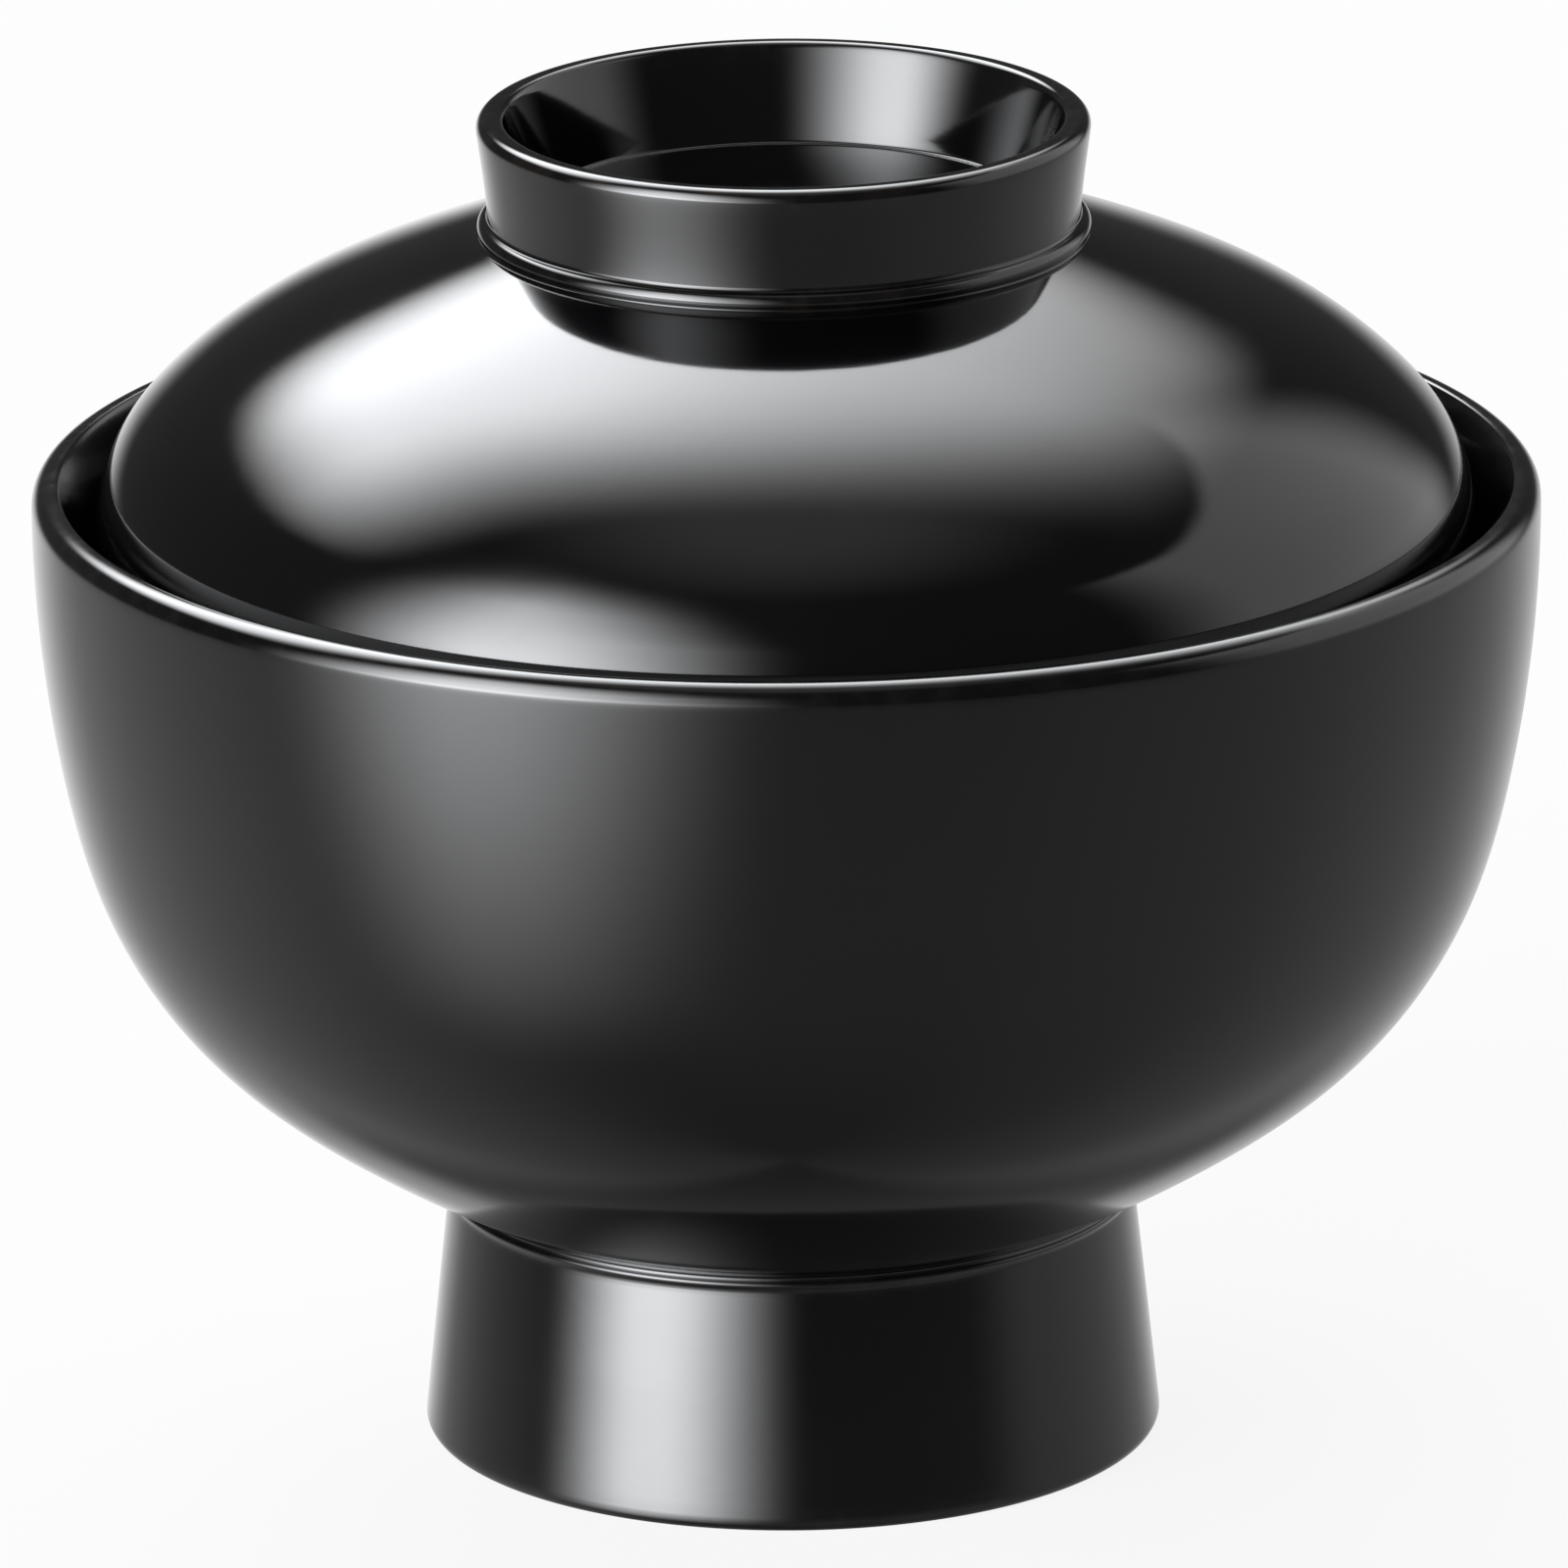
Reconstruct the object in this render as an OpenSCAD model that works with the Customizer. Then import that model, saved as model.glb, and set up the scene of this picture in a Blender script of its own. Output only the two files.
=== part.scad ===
// Lidded bowl turned from wood and lacquered: a deep bowl on a tall foot ring, and a domed lid
// whose rim drops inside the bowl's mouth. The lid's own ring is its knob, and its foot when
// the lid is turned over and used as a dish. Both pieces are round about the Z axis.

/* [Bowl] */
// diameter across the mouth, mm
mouth_d = 120; // [108:1:135]
// height of the bowl from the table to its rim, mm
bowl_h = 79; // [77.5:0.1:81]
// radius of the gently curved upper side, mm
side_r = 113.5; // [105:0.5:122]
// how far the side has turned in where the belly starts, degrees
side_turn = 13.8; // [12.5:0.1:15]
// radius of the belly, mm
belly_r = 35.5; // [33.5:0.5:37]
// how far the belly has turned in where the underside starts, degrees
belly_turn = 54.6; // [53:0.1:56]
// wall thickness of the body, mm
wall = 4.8; // [4.4:0.1:5.4]

/* [Mouth] */
// width of the rim, mm
rim_w = 2.2; // [2:0.1:2.6]
// rounding of the rim's outer edge, mm
rim_round = 1.6; // [0.8:0.1:1.6]
// rounding of the rim's inner edge, mm
rim_inner_round = 0.4; // [0.2:0.05:0.4]
// depth below the rim where the inside starts to flare out to it, mm
flare_depth = 9.3; // [8:0.1:12]

/* [Foot ring of the bowl] */
// height of the foot ring, mm
foot_h = 20.6; // [20:0.1:22]
// diameter of the foot ring at the table, mm
foot_d = 59.2; // [56:0.2:62]
// diameter of the foot ring where it meets the body, mm
foot_top_d = 55; // [53:0.2:56]
// width of the foot ring at the table, mm
foot_w = 3.6; // [3:0.1:5]
// rounding of the foot ring's outer lower edge, mm
foot_round = 0.8; // [0.5:0.1:1.6]
// height of the hollow under the bowl, mm
recess_h = 16; // [8:0.5:17]
// radius of the turned bead where the foot ring meets the body, mm
foot_bead_r = 0.4; // [0.3:0.1:0.8]

/* [Lid] */
// radius of the lid's rim, mm
lid_r = 55.1; // [54.95:0.05:55.4]
// height of the upright part of the lid's rim, mm
skirt_h = 5.2; // [4:0.1:8]
// radius of the lid's shoulder, mm
shoulder_r = 13; // [10:0.5:16]
// how far the shoulder has turned in where the dome starts, degrees
shoulder_turn = 43.8; // [40:0.1:47]
// radius of the dome, mm
dome_r = 38.8; // [37:0.1:41]
// how far the dome has turned in where the flatter crown starts, degrees
dome_turn = 66.3; // [64:0.1:68]
// radius of the flatter crown, mm
crown_r = 165; // [140:1:200]
// wall thickness of the lid, mm
lid_wall = 3; // [2.5:0.1:3.5]
// thickness of the lid's lower edge, mm
lid_edge_w = 2.4; // [2:0.1:3]
// play between the lid's edge and the bowl's inside, mm
seat_gap = 0.05; // [0.02:0.01:0.1]

/* [Ring on the lid] */
// diameter of the ring at its lip, mm
ring_d = 48.8; // [46:0.2:52]
// diameter of the ring at its neck, mm
ring_neck_d = 47.2; // [45:0.2:48]
// height of the ring above the crown, mm
ring_h = 9.45; // [8:0.05:12]
// width of the ring's lip, mm
ring_lip_w = 2.2; // [1.8:0.1:3]
// rounding of the lip's outer edge, mm
ring_round = 0.9; // [0.4:0.05:1]
// rounding of the lip's inner edge, mm
ring_inner_round = 0.6; // [0.3:0.05:0.7]
// diameter of the floor inside the ring, mm
ring_floor_d = 40.4; // [38:0.2:42]
// depth of the ring's hollow at the edge of its floor, mm
ring_depth = 7.8; // [5:0.1:8.5]
// rise of the floor's centre above its edge, mm
floor_rise = 1.6; // [0.5:0.1:2]
// radius of the turned bead at the ring's neck, mm
ring_bead_r = 0.8; // [0.5:0.05:1]

/* [Hidden] */

// smoothness of the round pieces
fine = 96;
// greatest gap between a drawn outline and its true curve
chord = 0.02;

// unit vector at angle a
function dir(a) = [cos(a), sin(a)];
// angle of a vector
function turn_of(v) = atan2(v[1], v[0]);
// number of straight steps that draw an arc of radius r within the chord gap
function steps(r, a) = max(2, ceil(abs(a) / (2 * acos(1 - chord / r))));
// points along an arc from angle a0 to a1, both ends included
function arc(c, r, a0, a1) =
    let (n = steps(r, a1 - a0)) [for (i = [0:n]) c + r * dir(a0 + (a1 - a0) * i / n)];
// the same arc without its first point, to follow on from an arc that ends there
function next_arc(c, r, a0, a1) =
    let (n = steps(r, a1 - a0)) [for (i = [1:n]) c + r * dir(a0 + (a1 - a0) * i / n)];
// angle on the circle about c where the line from p touches it; side is 1 or -1
function touch(p, c, r, side) =
    let (d = c - p)
    turn_of(sqrt(d * d - r * r) * dir(turn_of(d) + side * asin(r / norm(d))) - d);

// side, belly and underside of the bowl: three arcs that run into each other
rim_c = [mouth_d / 2 - rim_round, bowl_h - rim_round];
side_c = [mouth_d / 2 - side_r, rim_c[1]];
side_end = side_c + side_r * dir(-side_turn);
belly_c = side_end - belly_r * dir(-side_turn);
belly_end = belly_c + belly_r * dir(-belly_turn);
foot_top = [foot_top_d / 2, foot_h];
to_foot = belly_end - foot_top;
under_r = to_foot * to_foot / (2 * to_foot * dir(-belly_turn));
under_c = belly_end - under_r * dir(-belly_turn);
under_start = turn_of(foot_top - under_c);

// inside: the side and belly keep the wall's thickness, and the floor is level at the centre
inner_belly_end = belly_c + (belly_r - wall) * dir(-belly_turn);
floor_r = inner_belly_end[0] / cos(belly_turn);
floor_c = [0, inner_belly_end[1] + floor_r * sin(belly_turn)];

// flare of the mouth: an arc that leaves the inner side smoothly and runs into the rim
flare_z = bowl_h - flare_depth;
flare_turn = asin((side_c[1] - flare_z) / (side_r - wall));
flare_start = side_c + (side_r - wall) * dir(-flare_turn);
inner_rim_c = [mouth_d / 2 - rim_w + rim_inner_round, bowl_h - rim_inner_round];
from_rim = flare_start - inner_rim_c;
flare_r = (rim_inner_round * rim_inner_round - from_rim * from_rim)
    / (2 * (from_rim * dir(-flare_turn) + rim_inner_round));
flare_c = flare_start + flare_r * dir(-flare_turn);
flare_end = turn_of(inner_rim_c - flare_c);

// foot ring and the hollow inside it
foot_c = [foot_d / 2 - foot_round, foot_round];
foot_inner_round = 1;
foot_inner_c = [foot_d / 2 - foot_w + foot_inner_round, foot_inner_round];
// how much narrower the hollow is at its top than at the table
recess_taper = 1.4;
recess_round = 2.5;
recess_r = foot_d / 2 - foot_w - recess_taper;
recess_c = [recess_r - recess_round, recess_h - recess_round];
recess_top = [recess_r, recess_c[1]];
// the bead sits just under the body, half sunk in the foot ring
bead_drop = 0.6;
bead_sink = 0.1;
foot_bead_c = [foot_top[0] - bead_sink, foot_h - bead_drop];

// the lid comes down until its rounded edge nearly touches the flare
edge_r = lid_edge_w / 2;
edge_x = lid_r - edge_r;
seat_reach = flare_r + edge_r + seat_gap;
edge_z = flare_c[1] + sqrt(pow(seat_reach, 2) - pow(flare_c[0] - edge_x, 2));
lid_z = edge_z - edge_r;
shoulder_z = lid_z + skirt_h;

// shoulder, dome and crown of the lid: three arcs that run into each other
shoulder_c = [lid_r - shoulder_r, shoulder_z];
dome_c = shoulder_c - (dome_r - shoulder_r) * dir(shoulder_turn);
dome_end = dome_c + dome_r * dir(dome_turn);
crown_c = dome_end - crown_r * dir(dome_turn);

// underside of the lid: the wall's thickness, and level at the centre
lid_inner_end = dome_c + (dome_r - lid_wall) * dir(dome_turn);
ceiling_r = lid_inner_end[0] / cos(dome_turn);
ceiling_c = [0, lid_inner_end[1] - ceiling_r * sin(dome_turn)];

// ring on the lid
neck_x = ring_neck_d / 2;
crown_z = crown_c[1] + sqrt(pow(crown_r, 2) - pow(neck_x - crown_c[0], 2));
crown_end = turn_of([neck_x, crown_z] - crown_c);
ring_z = crown_z + ring_h;
ring_c = [ring_d / 2 - ring_round, ring_z - ring_round];
ring_inner_c = [ring_d / 2 - ring_lip_w + ring_inner_round, ring_z - ring_inner_round];
neck = [neck_x, crown_z + 2 * ring_bead_r];
floor_edge = [ring_floor_d / 2, ring_z - ring_depth];
ring_floor_r = (pow(floor_edge[0], 2) + pow(floor_rise, 2)) / (2 * floor_rise);
ring_floor_c = [0, floor_edge[1] + floor_rise - ring_floor_r];
ring_bead_c = [neck_x, crown_z + ring_bead_r / 2];

module disc(c, r) {
    translate(c) circle(r = r, $fn = fine);
}

// half of the bowl's cross-section, from the hollow of the foot out and up to the floor
module bowl_outline() {
    polygon(concat(
        [[0, recess_h]],
        arc(recess_c, recess_round, 90, 0),
        arc(foot_inner_c, foot_inner_round,
            touch(recess_top, foot_inner_c, foot_inner_round, -1) + 360, 270),
        arc(foot_c, foot_round, -90, touch(foot_top, foot_c, foot_round, 1)),
        arc(under_c, under_r, under_start, -belly_turn),
        next_arc(belly_c, belly_r, -belly_turn, -side_turn),
        next_arc(side_c, side_r, -side_turn, 0),
        next_arc(rim_c, rim_round, 0, 90),
        arc(inner_rim_c, rim_inner_round, 90, flare_end),
        next_arc(flare_c, flare_r, flare_end, 180 - flare_turn),
        next_arc(side_c, side_r - wall, -flare_turn, -side_turn),
        next_arc(belly_c, belly_r - wall, -side_turn, -belly_turn),
        next_arc(floor_c, floor_r, -belly_turn, -90)
    ));
    disc(foot_bead_c, foot_bead_r);
}

// half of the lid's cross-section, from its ceiling down round its edge and up to the ring
module lid_outline() {
    polygon(concat(
        arc(ceiling_c, ceiling_r, 90, dome_turn),
        next_arc(dome_c, dome_r - lid_wall, dome_turn, shoulder_turn),
        next_arc(shoulder_c, shoulder_r - lid_wall, shoulder_turn, 0),
        arc([edge_x, edge_z], edge_r, 180, 360),
        arc(shoulder_c, shoulder_r, 0, shoulder_turn),
        next_arc(dome_c, dome_r, shoulder_turn, dome_turn),
        next_arc(crown_c, crown_r, dome_turn, crown_end),
        [neck],
        arc(ring_c, ring_round, touch(neck, ring_c, ring_round, -1), 90),
        arc(ring_inner_c, ring_inner_round, 90,
            touch(floor_edge, ring_inner_c, ring_inner_round, 1)),
        arc(ring_floor_c, ring_floor_r, turn_of(floor_edge - ring_floor_c), 90)
    ));
    disc(ring_bead_c, ring_bead_r);
}

module bowl() {
    color([0.02, 0.02, 0.022])
        rotate_extrude($fn = fine)
            bowl_outline();
}

module lid() {
    color([0.03, 0.03, 0.033])
        rotate_extrude($fn = fine)
            lid_outline();
}

bowl();
lid();
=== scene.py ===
import math

import bpy
import numpy as np
from mathutils import Matrix


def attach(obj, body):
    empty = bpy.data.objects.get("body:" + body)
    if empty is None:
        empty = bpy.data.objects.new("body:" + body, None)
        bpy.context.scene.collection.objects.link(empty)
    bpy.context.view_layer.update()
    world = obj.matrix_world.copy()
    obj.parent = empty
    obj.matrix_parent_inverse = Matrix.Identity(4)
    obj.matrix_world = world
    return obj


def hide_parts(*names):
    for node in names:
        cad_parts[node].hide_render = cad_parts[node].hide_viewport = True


MM = 0.001

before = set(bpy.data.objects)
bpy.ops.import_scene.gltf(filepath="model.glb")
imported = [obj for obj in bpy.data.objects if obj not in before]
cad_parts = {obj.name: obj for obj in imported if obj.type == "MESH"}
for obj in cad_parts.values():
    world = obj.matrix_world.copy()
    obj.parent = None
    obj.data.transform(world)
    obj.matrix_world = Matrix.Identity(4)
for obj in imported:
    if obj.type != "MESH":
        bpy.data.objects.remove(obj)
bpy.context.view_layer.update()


# --- node trees written as plain arithmetic ------------------------------------------------

class Value:
    """A node socket that can be added, multiplied and compared like a number."""

    def __init__(self, tree, socket):
        self.tree, self.socket = tree, socket

    def _math(self, operation, *others):
        node = self.tree.nodes.new("ShaderNodeMath")
        node.operation = operation
        for place, value in enumerate((self, *others)):
            if isinstance(value, Value):
                self.tree.links.new(value.socket, node.inputs[place])
            else:
                node.inputs[place].default_value = value
        return Value(self.tree, node.outputs[0])

    def __add__(self, other):
        return self._math("ADD", other)

    def __sub__(self, other):
        return self._math("SUBTRACT", other)

    def __mul__(self, other):
        return self._math("MULTIPLY", other)

    def __truediv__(self, other):
        return self._math("DIVIDE", other)

    __radd__ = __add__

    def __rsub__(self, other):
        return self * -1.0 + other

    def maximum(self, other):
        return self._math("MAXIMUM", other)

    def power(self, other):
        return self._math("POWER", other)

    def absolute(self):
        return self._math("ABSOLUTE")

    def arcsine_degrees(self):
        return self._math("ARCSINE") * math.degrees(1)

    def angle_degrees(self, other):
        """The angle whose tangent is this value over the other, in its own quarter."""
        return self._math("ARCTAN2", other) * math.degrees(1)

    def rise(self, start, end):
        """0 below start, 1 above end, smooth between."""
        node = self.tree.nodes.new("ShaderNodeMapRange")
        node.interpolation_type = "SMOOTHSTEP"
        self.tree.links.new(self.socket, node.inputs["Value"])
        node.inputs["From Min"].default_value = start
        node.inputs["From Max"].default_value = end
        return Value(self.tree, node.outputs["Result"])

    def fall(self, start, end):
        return 1.0 - self.rise(start, end)

    def ramp(self, low, high):
        """low where the value is 0, high where it is 1."""
        return self * (high - low) + low


def tree_of(block):
    block.use_nodes = True
    block.node_tree.nodes.clear()
    return block.node_tree


def parts_of(tree, vector_socket):
    node = tree.nodes.new("ShaderNodeSeparateXYZ")
    tree.links.new(vector_socket, node.inputs[0])
    return [Value(tree, s) for s in node.outputs]


def noise(tree, vector_socket, scale, detail=3.0, roughness=0.5):
    node = tree.nodes.new("ShaderNodeTexNoise")
    tree.links.new(vector_socket, node.inputs["Vector"])
    node.inputs["Scale"].default_value = scale
    node.inputs["Detail"].default_value = detail
    node.inputs["Roughness"].default_value = roughness
    return Value(tree, node.outputs[0])


def plug(tree, value, socket):
    tree.links.new(value.socket, socket)


def mix_colour(tree, share, a, b):
    node = tree.nodes.new("ShaderNodeMix")
    node.data_type = "RGBA"
    plug(tree, share, node.inputs[0])
    for value, socket in ((a, node.inputs[6]), (b, node.inputs[7])):
        if isinstance(value, bpy.types.NodeSocket):
            tree.links.new(value, socket)
        else:
            socket.default_value = (*value, 1.0)
    return node.outputs[2]


# --- the two turned pieces -------------------------------------------------------------------

SEGMENTS = 288

# reading the CAD outline: a turn below STRAIGHT is no turn, one above CORNER is a real corner
SAME_POINT = 0.01 * MM
STRAIGHT = math.radians(0.25)
CORNER = math.radians(35)

# steps of one arc are about as long as each other, and steps of two curves are not
LIKE_STEPS, UNLIKE_STEPS = 1.7, 2.2
FINE_STEP = 0.35 * MM
FINE_TURN = math.radians(5)

# a curve is eased over this share of its own radius, within limits
EASE_SHARE = 0.1
SHORTEST_EASE, LONGEST_EASE = 0.05 * MM, 3.5 * MM
EASE_SLOPE = 0.35
EASE_POINTS = 8

# each corner's small curve starts this far from it and leaves a share of a short side straight
CORNER_FILL = 0.3 * MM
CORNER_STEPS = 8
SHORTEST_SHARE = 0.2

CHORD_SAG = 0.0009 * MM
LONGEST_CHORD = 1.2 * MM

# a round tighter than about 3 mm starts to wear, and one of 1.25 mm wears fully
WEAR_STARTS, WEAR_SPAN = 300, 500
WEAR_REACH = 0.8 * MM


def ring_labels(rz):
    """One label for all the vertices of one turned ring: those with one radius and height."""
    keys = np.round(rz / SAME_POINT).astype(int)
    unique, label = np.unique(keys, axis=0, return_inverse=True)
    # near-equal keys that rounding split are joined to the first of them
    lead = np.arange(len(unique))
    for i in range(1, len(unique)):
        near = np.abs(unique[:i] - unique[i]).max(1) <= 1
        if near.any():
            lead[i] = lead[int(np.argmax(near))]
    return lead[label.ravel()]


def ring_neighbours(mesh, label):
    """For each ring, how many of the mesh's edges lead to each other ring."""
    edges = np.zeros(len(mesh.edges) * 2, int)
    mesh.edges.foreach_get("vertices", edges)
    joined = {}
    for a, b in label[edges.reshape(-1, 2)]:
        if a != b:
            for one, other in ((a, b), (b, a)):
                counts = joined.setdefault(one, {})
                counts[other] = counts.get(other, 0) + 1
    return joined


def outline_of(node):
    """The CAD node's outline as (radius, height) points, from one end on the axis to the other."""
    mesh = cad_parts[node].data
    co = np.zeros(len(mesh.vertices) * 3)
    mesh.vertices.foreach_get("co", co)
    co = co.reshape(-1, 3)
    rz = np.stack([np.hypot(co[:, 0], co[:, 1]), co[:, 2]], 1)
    label = ring_labels(rz)
    centre = {k: rz[label == k].mean(0) for k in set(label)}
    joined = ring_neighbours(mesh, label)
    start = min((k for k in centre if centre[k][0] < SAME_POINT), key=lambda k: centre[k][1])
    path, seen = [start], {start}
    while True:
        options = [k for k in joined[path[-1]] if k not in seen]
        if not options:
            break
        path.append(max(options, key=lambda k: joined[path[-1]][k]))
        seen.add(path[-1])
    points = [centre[k] for k in path]
    if points[-1][0] > SAME_POINT:
        points.append(np.array([0.0, points[-1][1]]))
    points = np.array(points)
    points[0][0] = points[-1][0] = 0.0
    r, z = points.T
    area = np.sum(r[:-1] * z[1:] - r[1:] * z[:-1])
    return points if area > 0 else points[::-1]


def turns(points):
    """Signed change of direction at each inner point."""
    d = np.diff(points, axis=0)
    a = np.arctan2(d[:, 1], d[:, 0])
    return (np.diff(a) + math.pi) % (2 * math.pi) - math.pi


def drop_straight(points):
    """Without the points that lie on a straight run."""
    keep = np.abs(turns(points)) > STRAIGHT
    return points[np.concatenate([[True], keep, [True]])]


def turned(v, angle):
    c, s = math.cos(angle), math.sin(angle)
    return np.array([c * v[0] - s * v[1], s * v[0] + c * v[1]])


def smooth_outline(points):
    """Points along the curves that the CAD outline's straight steps stand for, corners kept."""
    d = np.diff(points, axis=0)
    length = np.hypot(*d.T)
    d /= length[:, None]
    bend = np.concatenate([[0.0], turns(points), [0.0]])
    last = len(d) - 1

    def half_turn(i, other):
        """Half the turn between two steps of one arc, or None where they are not alike."""
        if not 0 <= other <= last:
            return None
        turn = bend[max(i, other)]
        alike = 1 / LIKE_STEPS < length[i] / length[other] < LIKE_STEPS
        return turn / 2 if alike and abs(turn) < CORNER else None

    starts, ends = [None] * len(d), [None] * len(d)
    for i in range(len(d)):
        after = half_turn(i, i + 1)
        before = half_turn(i, i - 1)
        step = after if after is not None else before
        starts[i] = turned(d[i], -(step or 0.0))
        step = before if before is not None else after
        ends[i] = turned(d[i], step or 0.0)
    for i in range(last):
        if abs(bend[i + 1]) < CORNER:
            # beside a much shorter step, the short step's direction counts for more
            if length[i] > UNLIKE_STEPS * length[i + 1]:
                shared = ends[i] * 0.3 + starts[i + 1] * 0.7
            elif length[i + 1] > UNLIKE_STEPS * length[i]:
                shared = ends[i] * 0.7 + starts[i + 1] * 0.3
            else:
                shared = ends[i] + starts[i + 1]
            ends[i] = starts[i + 1] = shared / np.hypot(*shared)
    out = [points[0]]
    for i in range(len(d)):
        n = max(2, int(math.ceil(length[i] / FINE_STEP)))
        bent = abs(starts[i][0] * ends[i][1] - starts[i][1] * ends[i][0])
        n = max(n, int(math.ceil(bent / FINE_TURN)))
        for t in np.linspace(0, 1, n + 1)[1:]:
            h = (1 + 2 * t) * (1 - t) ** 2, t * t * (3 - 2 * t)
            g = t * (1 - t) ** 2, t * t * (t - 1)
            out.append(h[0] * points[i] + h[1] * points[i + 1]
                       + length[i] * (g[0] * starts[i] + g[1] * ends[i]))
    return np.array(out)


def sections(points):
    """The outline cut at its corners, as pairs of first and last index."""
    cuts = [0, *(np.where(np.abs(turns(points)) > CORNER)[0] + 1), len(points) - 1]
    return list(zip(cuts[:-1], cuts[1:]))


def ease_curvature(points):
    """Spreads each sudden change of curvature over a few millimetres, as a turning tool does."""
    out = points.copy()
    for first, last in sections(points):
        p = points[first:last + 1]
        if len(p) < EASE_POINTS:
            continue
        d = np.diff(p, axis=0)
        length = np.hypot(*d.T)
        angle = np.unwrap(np.arctan2(d[:, 1], d[:, 0]))
        middle = np.cumsum(length) - length / 2
        total = length.sum()
        curve = np.abs(np.gradient(angle, middle))
        reach = np.clip(EASE_SHARE / np.maximum(curve, 1e-3), SHORTEST_EASE, LONGEST_EASE)
        # the reach falls away towards each small radius and each end, so that those stay put
        for k in range(len(reach)):
            reach[k] = np.min(reach + EASE_SLOPE * np.abs(middle - middle[k]))
        reach = np.minimum(reach, np.minimum(middle, total - middle) / 2.5)
        weight = np.exp(-0.5 * ((middle[:, None] - middle) / np.maximum(reach, 1e-7)[:, None]) ** 2)
        weight *= length
        angle = (weight * angle).sum(1) / weight.sum(1)
        q = np.concatenate([[p[0]], p[0] + np.cumsum(
            np.stack([np.cos(angle), np.sin(angle)], 1) * length[:, None], axis=0)])
        share = np.concatenate([[0], np.cumsum(length)]) / total
        out[first:last + 1] = q + share[:, None] * (p[-1] - q[-1])
    return out


def fill_corners(points):
    """Lacquer gathers in inner corners and thins over outer ones: each gets a small curve."""
    length = np.concatenate([[0], np.cumsum(np.hypot(*np.diff(points, axis=0).T))])
    out = []
    for first, last in sections(points):
        a = length[first] + (CORNER_FILL if first else 0)
        b = length[last] - (CORNER_FILL if last < len(points) - 1 else 0)
        b = max(b, a + SHORTEST_SHARE * (length[last] - length[first]))
        inner = points[(length > a) & (length < b)]
        ends = [np.array([np.interp(x, length, points[:, 0]), np.interp(x, length, points[:, 1])])
                for x in (a, b)]
        if first:
            start = out[-1]
            for t in np.linspace(0, 1, CORNER_STEPS + 1)[1:-1]:
                out.append(start * (1 - t) ** 2 + points[first] * 2 * t * (1 - t) + ends[0] * t * t)
        out.extend([ends[0], *inner, ends[1]])
    return np.array(out)


def thin_out(points):
    """Fewer points where the outline is nearly straight."""
    keep, i = [0], 0
    while i < len(points) - 1:
        j = i + 1
        while j + 1 < len(points):
            chord = points[j + 1] - points[i]
            size = np.hypot(*chord)
            between = points[i + 1:j + 1] - points[i]
            off = np.abs(between[:, 0] * chord[1] - between[:, 1] * chord[0]) / max(size, 1e-9)
            if size > LONGEST_CHORD or off.max() > CHORD_SAG:
                break
            j += 1
        keep.append(j)
        i = j
    return points[keep]


def outer_edges(points):
    """0 to 1 along the outline: how exposed a point is to wear, highest on small outward rounds."""
    d = np.diff(points, axis=0)
    length = np.hypot(*d.T)
    bend = np.concatenate([[0], turns(points) / ((length[1:] + length[:-1]) / 2), [0]])
    sharp = np.clip((bend - WEAR_STARTS) / WEAR_SPAN, 0, 1)
    along = np.concatenate([[0], np.cumsum(length)])
    return np.array([np.max(sharp * np.exp(-((along - x) / WEAR_REACH) ** 2)) for x in along])


def turned_mesh(name, points):
    """A closed mesh turned from an outline that starts and ends on the axis.

    Its vertices are the rings in order, then the outline's first and last points.
    """
    ring = points[1:-1]
    n, m = len(ring), SEGMENTS
    angle = np.arange(m) * 2 * math.pi / m
    verts = np.empty((n, m, 3))
    verts[:, :, 0] = ring[:, :1] * np.cos(angle)
    verts[:, :, 1] = ring[:, :1] * np.sin(angle)
    verts[:, :, 2] = ring[:, 1:]
    ends = [[0, 0, points[0][1]], [0, 0, points[-1][1]]]
    verts = np.concatenate([verts.reshape(-1, 3), ends])
    here = np.arange(m)
    ahead = (here + 1) % m
    row = np.arange(n - 1)[:, None] * m
    quads = np.stack([row + here, row + ahead, row + m + ahead, row + m + here], -1).reshape(-1, 4)
    first = np.stack([np.full(m, n * m), ahead, here], -1)
    top = (n - 1) * m
    last = np.stack([np.full(m, n * m + 1), top + here, top + ahead], -1)
    mesh = bpy.data.meshes.new(name)
    mesh.from_pydata(verts.tolist(), [], [*quads.tolist(), *first.tolist(), *last.tolist()])
    mesh.validate()
    mesh.shade_smooth()
    return mesh


def lathe(name, node, body, material):
    """A fine piece turned from the CAD node's outline, which it stands for."""
    points = thin_out(fill_corners(ease_curvature(smooth_outline(drop_straight(outline_of(node))))))
    mesh = turned_mesh(name, points)
    wear = outer_edges(points)
    values = np.concatenate([np.repeat(wear[1:-1], SEGMENTS), wear[[0, -1]]]).astype(np.float32)
    mesh.attributes.new("wear", "FLOAT", "POINT").data.foreach_set("value", values)
    mesh.materials.append(material)
    piece = bpy.data.objects.new(name, mesh)
    bpy.context.scene.collection.objects.link(piece)
    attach(piece, body)
    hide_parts(node)


# --- lacquer ---------------------------------------------------------------------------------

BLACK, SOFT_BLACK = (0.0008, 0.0008, 0.0010), (0.0016, 0.0016, 0.0018)
WORN_BROWN = (0.012, 0.009, 0.007)
LACQUER_IOR = 1.52

# how fine each pattern is, per metre
RINGS_PER_METRE = 2600.0
RING_BREAKS, CLOUDS, SWELLS, HAZE, WORN_SPOTS = 40.0, 28.0, 210.0, 160.0, 420.0
SWELL_DEPTH = 0.006 * MM
POLISH_DEPTH = 0.0006 * MM


def bump(tree, height, depth):
    node = tree.nodes.new("ShaderNodeBump")
    node.inputs["Strength"].default_value = 1.0
    node.inputs["Distance"].default_value = depth
    plug(tree, height, node.inputs["Height"])
    return node


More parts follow.
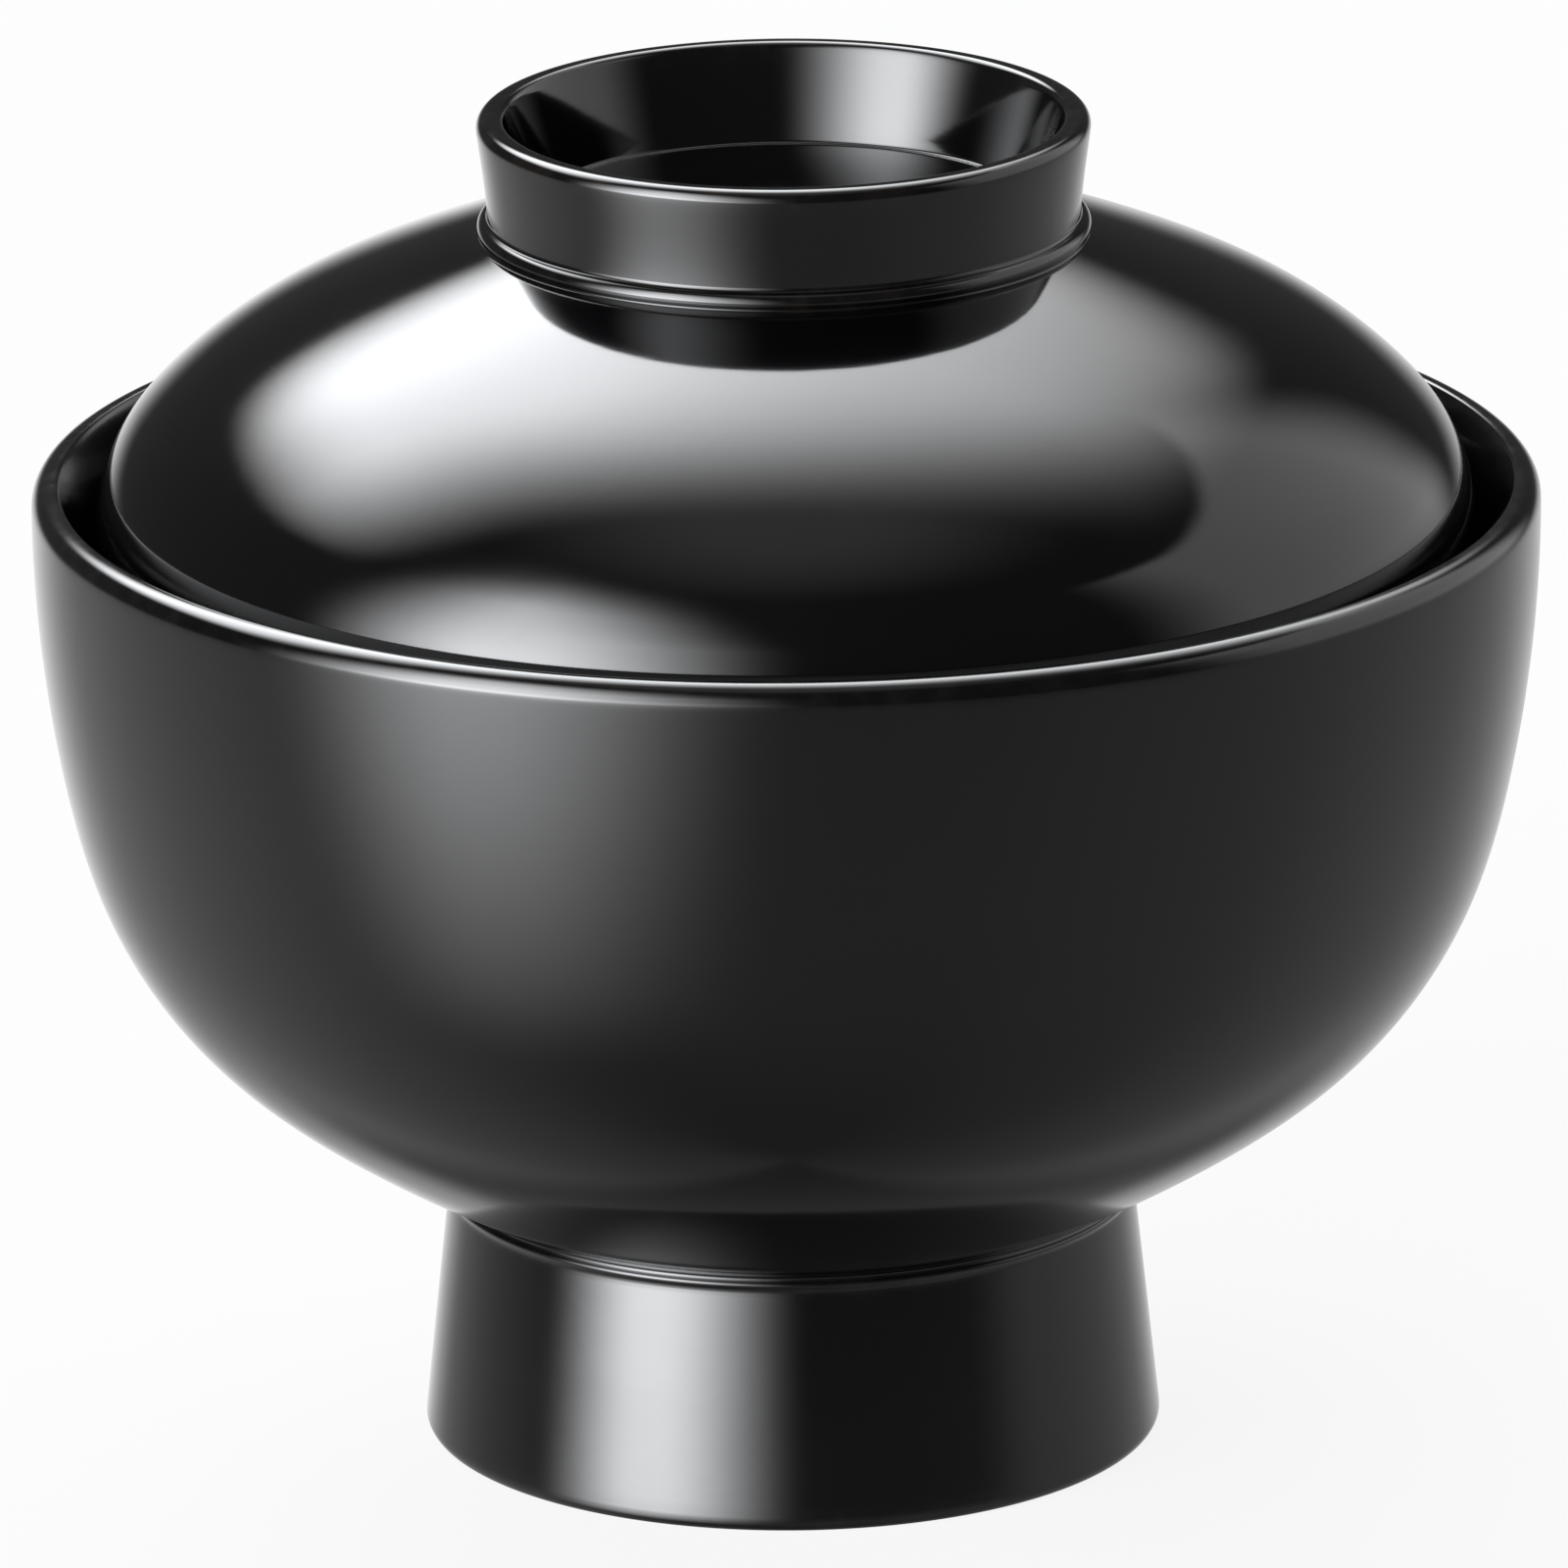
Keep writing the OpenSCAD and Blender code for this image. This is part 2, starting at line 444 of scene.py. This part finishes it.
def lacquer(name, gloss, seed):
    """Black lacquer over turned wood: a deep dark body under a clear polished surface."""
    material = bpy.data.materials.new(name)
    tree = tree_of(material)
    place = tree.nodes.new("ShaderNodeTexCoord").outputs["Object"]
    shift = tree.nodes.new("ShaderNodeVectorMath")
    tree.links.new(place, shift.inputs[0])
    shift.inputs[1].default_value = (seed, seed * 0.7, 0)
    spot = shift.outputs[0]
    x, y, z = parts_of(tree, place)
    radius = (x * x + y * y).power(0.5)
    wear = tree.nodes.new("ShaderNodeAttribute")
    wear.attribute_name = "wear"
    wear = Value(tree, wear.outputs["Fac"])

    # fine rings left by polishing on the lathe, broken up round the piece
    rings = tree.nodes.new("ShaderNodeCombineXYZ")
    plug(tree, radius * RINGS_PER_METRE, rings.inputs[0])
    plug(tree, z * RINGS_PER_METRE, rings.inputs[1])
    plug(tree, noise(tree, spot, RING_BREAKS, 1.0) * 1.5, rings.inputs[2])
    polish = noise(tree, rings.outputs[0], 1.0, 2.0)

    cloud = noise(tree, spot, CLOUDS, 3.0)
    haze = noise(tree, spot, HAZE, 4.0, 0.6)
    worn = wear * noise(tree, spot, WORN_SPOTS, 3.0, 0.6).rise(0.35, 0.75)

    shader = tree.nodes.new("ShaderNodeBsdfPrincipled")
    deep = mix_colour(tree, cloud.rise(0.35, 0.7), BLACK, SOFT_BLACK)
    colour = mix_colour(tree, worn * 0.3, deep, WORN_BROWN)
    tree.links.new(colour, shader.inputs["Base Color"])
    shader.inputs["IOR"].default_value = LACQUER_IOR
    rough = (gloss + cloud.rise(0.3, 0.75) * 0.02 + haze.rise(0.45, 0.8) * 0.018 + worn * 0.04
             + polish.rise(0.5, 0.8) * 0.012)
    plug(tree, rough, shader.inputs["Roughness"])

    # slow waviness of the hand-laid coat, a few microns deep, and the far shallower rings
    swell = bump(tree, noise(tree, spot, SWELLS, 2.0), SWELL_DEPTH)
    fine = bump(tree, polish, POLISH_DEPTH)
    tree.links.new(swell.outputs[0], fine.inputs["Normal"])
    tree.links.new(fine.outputs[0], shader.inputs["Normal"])

    out = tree.nodes.new("ShaderNodeOutputMaterial")
    tree.links.new(shader.outputs[0], out.inputs[0])
    return material


lathe("bowl_turned", "bowl", "bowl", lacquer("bowl_lacquer", 0.10, 0.0))
lathe("lid_turned", "lid", "lid", lacquer("lid_lacquer", 0.06, 3.1))


# --- studio ----------------------------------------------------------------------------------

# strengths of what stands round the bowl, against 1 for plain white paper
FRONT_BOX, FRONT_BOX_UPPER, FRONT_BOX_FADE = 15.6, 3.5, 0.22
TOP_BOX = 10.8
BOARD = 1.1
TABLE, TABLE_FRONT_LOSS, TABLE_RIGHT_LOSS, TABLE_SHADOW = 0.56, 0.34, 0.14, 0.72
CEILING = 0.42
FILL = 0.07
COOL_WHITE = (0.955, 0.975, 1.0)
PALE = (0.985, 0.985, 0.985, 1)
FLOOR_GREY = (0.42, 0.42, 0.42, 1)
FLOOR_EVEN_SHARE = 0.9
FLOOR_RADIUS = 6.0

# the eye of the photo
SENSOR, LENS = 36, 419.33
NEAR, FAR = 0.05, 50
EYE = (-0.35 * MM, -1400.0 * MM, 477.19 * MM)
LOOK_DOWN = math.radians(16.85)
ROLL = math.radians(-0.44)


def front_box(height, bearing):
    """Tall soft box to the front left, which fades downwards and leans in at its top."""
    rise = (height.rise(-62, -8).power(1.8) * 0.4 + height.rise(-14, -4) * 0.6
            + height.rise(-14, -6) * height.fall(-2, 10) * 0.3)
    widening = height.rise(-18, -8) * height.fall(-6, 12).ramp(0.6, 1.0) * 3.5
    lean = bearing + (height - 25.0).maximum(0.0) * 0.45 - widening
    sides = bearing.rise(-92, -50).power(1.7) * lean.fall(-48, 4).power(1.6)
    strength = (FRONT_BOX + height.rise(2, 12) * FRONT_BOX_UPPER
                - height.maximum(0.0) * FRONT_BOX_FADE)
    return sides * rise * height.fall(40, 65) * strength


def top_box(x, y, z, height):
    """Soft box overhead and behind, laid out on a level plane one unit up."""
    up = z.maximum(0.02)
    across, back = x / up, y / up
    depth = back.rise(0.0, 0.75) * back.fall(1.2, 2.5)
    width = across.rise(-1.36, -0.6) * across.fall(-0.35, 0.88)
    return depth * width * height.rise(10, 24) * TOP_BOX


def board(height, bearing):
    """Pale board to the right."""
    width = bearing.rise(58, 86) * bearing.fall(136, 152)
    return width * height.rise(-18, 6) * height.fall(46, 49) * BOARD


def table(height, bearing):
    """Pale table all round, dimmer in front and to the right, and in the bowl's own shadow."""
    aside = bearing.absolute()
    front, behind = aside.fall(20, 110), aside.rise(138, 165)
    right = bearing.rise(40, 90) * bearing.fall(120, 165)
    right_half = bearing.rise(-5, 5)
    far = behind * height.rise(-34, -16) * (0.4 - right_half * 0.25)
    level = TABLE - front * TABLE_FRONT_LOSS - right * TABLE_RIGHT_LOSS + far
    edge = (height - behind * 8.0).fall(-18, -4)
    near = height.rise(-90, -25).ramp(0.32, 1.0)
    shadow = aside.rise(140, 160) * (height - right_half * 5.0).fall(-48, -36) * TABLE_SHADOW
    return edge * near * level * (1.0 - shadow)


def studio_light():
    """A white studio as the lacquer sees it: two soft boxes, a pale board, a dark camera side.

    Heights are in degrees above level. Bearings are in degrees round the bowl, 0 towards the
    camera and positive to its right.
    """
    world = bpy.data.worlds.new("studio")
    bpy.context.scene.world = world
    tree = tree_of(world)
    x, y, z = parts_of(tree, tree.nodes.new("ShaderNodeTexCoord").outputs["Generated"])
    height = z.arcsine_degrees()
    bearing = x.angle_degrees(y * -1.0)
    ceiling = height.rise(58, 84) * CEILING
    total = (front_box(height, bearing) + top_box(x, y, z, height) + board(height, bearing)
             + table(height, bearing) + ceiling + FILL)

    tint = mix_colour(tree, total.rise(0.8, 6.0), (1.0, 1.0, 1.0), COOL_WHITE)
    studio = tree.nodes.new("ShaderNodeBackground")
    tree.links.new(tint, studio.inputs["Color"])
    plug(tree, total, studio.inputs["Strength"])
    pale = tree.nodes.new("ShaderNodeBackground")
    pale.inputs["Color"].default_value = PALE
    seen = tree.nodes.new("ShaderNodeLightPath").outputs["Is Camera Ray"]
    choose = tree.nodes.new("ShaderNodeMixShader")
    tree.links.new(seen, choose.inputs[0])
    tree.links.new(studio.outputs[0], choose.inputs[1])
    tree.links.new(pale.outputs[0], choose.inputs[2])
    out = tree.nodes.new("ShaderNodeOutputWorld")
    tree.links.new(choose.outputs[0], out.inputs[0])


def pale_floor():
    """A large pale floor that keeps a faint soft shadow and stays out of the reflections."""
    material = bpy.data.materials.new("floor")
    tree = tree_of(material)
    matte = tree.nodes.new("ShaderNodeBsdfDiffuse")
    matte.inputs["Color"].default_value = FLOOR_GREY
    even = tree.nodes.new("ShaderNodeEmission")
    even.inputs["Color"].default_value = PALE
    mix = tree.nodes.new("ShaderNodeMixShader")
    mix.inputs[0].default_value = FLOOR_EVEN_SHARE
    tree.links.new(matte.outputs[0], mix.inputs[1])
    tree.links.new(even.outputs[0], mix.inputs[2])
    out = tree.nodes.new("ShaderNodeOutputMaterial")
    tree.links.new(mix.outputs[0], out.inputs[0])
    bpy.ops.mesh.primitive_circle_add(vertices=96, radius=FLOOR_RADIUS, fill_type="NGON")
    floor = bpy.context.object
    floor.name = "floor"
    floor.data.materials.append(material)
    floor.visible_glossy = False


def camera():
    """The long, slightly high view of the photo."""
    data = bpy.data.cameras.new("view")
    data.sensor_width = SENSOR
    data.lens = LENS
    data.clip_start, data.clip_end = NEAR, FAR
    eye = bpy.data.objects.new("view", data)
    bpy.context.scene.collection.objects.link(eye)
    eye.location = EYE
    tilt = Matrix.Rotation(math.pi / 2 - LOOK_DOWN, 4, "X")
    roll = Matrix.Rotation(ROLL, 4, "Z")
    eye.rotation_euler = (tilt @ roll).to_euler()
    bpy.context.scene.camera = eye


studio_light()
pale_floor()
camera()
bpy.context.scene.view_settings.view_transform = "Standard"
